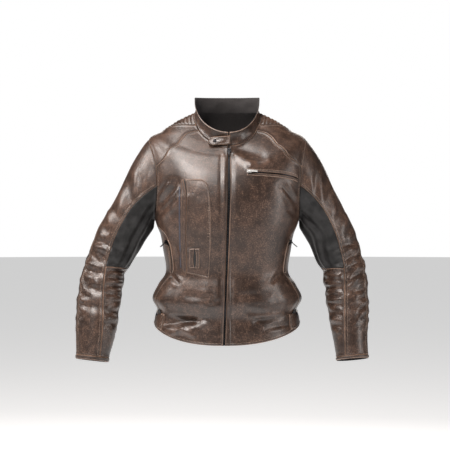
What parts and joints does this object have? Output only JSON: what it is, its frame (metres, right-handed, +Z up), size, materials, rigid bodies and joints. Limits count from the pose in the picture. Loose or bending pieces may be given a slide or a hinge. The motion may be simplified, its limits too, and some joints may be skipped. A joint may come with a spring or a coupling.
{
  "type": "leather riding jacket",
  "caption": "Leather riding jacket in its worn, hollow form, with a centre zip, black stretch inserts under the arms, ribbed shoulder strips, a long chest pocket and a snap collar tab.",
  "frame": {"origin": "centre of the neck opening, at the height where the jacket rests on the wearer's shoulders", "axes": "+X towards the wearer's left, -Y towards the front, +Z up"},
  "size_m": [0.8106, 0.2878, 0.7418],
  "materials": {
    "leather": "semi-gloss, distressed brown",
    "worn_leather": "semi-gloss, worn greyer brown",
    "black_stretch": "soft matte black",
    "black_tape": "woven black tape",
    "blackened_metal": "blackened",
    "silver_metal": "satin silver"
  },
  "bodies": {
    "jacket": {"front_right": "leather", "front_left": "leather", "back": "leather", "yoke_right": "worn_leather", "yoke_left": "worn_leather", "rib_right": "worn_leather", "rib_left": "worn_leather", "sleeve_top_right": "leather", "sleeve_top_left": "leather", "sleeve_rear_right": "leather", "sleeve_rear_left": "leather", "insert_right": "black_stretch", "insert_left": "black_stretch", "cuff_right": "leather", "cuff_left": "leather", "collar": "leather", "main_zip_tape": "black_tape", "main_zip_slider": "blackened_metal", "collar_tab": "leather", "collar_snap": "blackened_metal", "long_pocket": "worn_leather", "long_pocket_zip": "black_tape", "welt_lining": "black_tape", "welt_lip_outer": "leather", "welt_lip_inner": "leather", "chest_zip_tape": "black_tape", "chest_zip_welt_lower": "leather", "chest_zip_welt_upper": "leather", "chest_zip_slider": "silver_metal", "hand_zip_tape_right": "black_tape", "hand_zip_right_slider": "blackened_metal", "hand_zip_tape_left": "black_tape", "hand_zip_left_slider": "blackened_metal", "waist_tab_right": "leather", "waist_tab_left": "leather", "waist_snap_right": "blackened_metal", "waist_snap_left": "blackened_metal"},
    "main_pull": {"main_zip_pull": "blackened_metal"},
    "chest_pull": {"chest_zip_pull": "silver_metal"},
    "hand_pull_right": {"hand_zip_right_pull": "blackened_metal"},
    "hand_pull_left": {"hand_zip_left_pull": "blackened_metal"}
  },
  "joints": [
    {"name": "main_pull_hinge", "type": "hinge", "parent": "jacket", "child": "main_pull", "pos_m": [0.005, -0.09609, -0.10172], "axis": [-1, 0, 0], "range_deg": [0, 100]},
    {"name": "chest_pull_hinge", "type": "hinge", "parent": "jacket", "child": "chest_pull", "pos_m": [0.0594, -0.13916, -0.16207], "axis": [-0.0461, -0.3822, -0.9229], "range_deg": [0, 150]},
    {"name": "hand_pull_right_hinge", "type": "hinge", "parent": "jacket", "child": "hand_pull_right", "pos_m": [-0.16889, -0.08397, -0.35573], "axis": [-0.5749, 0.8182, 0], "range_deg": [-50, 80]},
    {"name": "hand_pull_left_hinge", "type": "hinge", "parent": "jacket", "child": "hand_pull_left", "pos_m": [0.17806, -0.06866, -0.35586], "axis": [-0.4225, -0.9064, 0], "range_deg": [-50, 80]}
  ]
}
